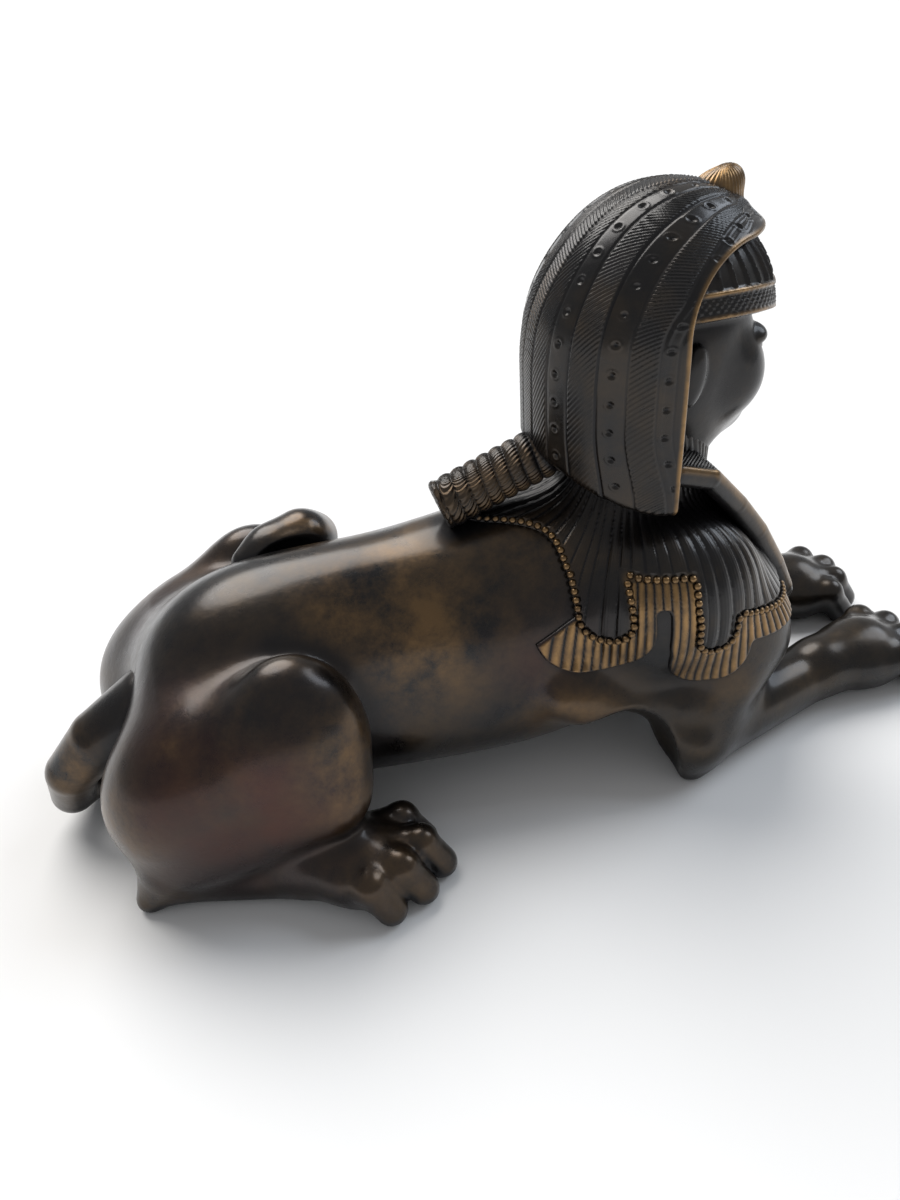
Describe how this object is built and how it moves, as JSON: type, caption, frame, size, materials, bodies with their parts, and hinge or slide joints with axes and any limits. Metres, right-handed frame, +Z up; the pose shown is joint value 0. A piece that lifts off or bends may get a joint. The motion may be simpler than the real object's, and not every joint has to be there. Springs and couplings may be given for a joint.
{
  "type": "sphinx statue",
  "caption": "Recumbent Egyptian-revival sphinx in patinated cast bronze: lion body, calm human head in a striped headcloth, pleated fringed mantle, bound queue behind.",
  "frame": {"origin": "on the table plane under the middle of the figure's bounding box", "axes": "+X the way the sphinx faces, along its length; +Y its left side; +Z up"},
  "size_m": [0.5484, 0.2566, 0.3165],
  "materials": {
    "bronze": "cast bronze with a dark brown to black patina, satin, rubbed to gold-brown on high points, red-brown on the haunch"
  },
  "bodies": {
    "root": {"sphinx": "bronze"}
  },
  "joints": []
}
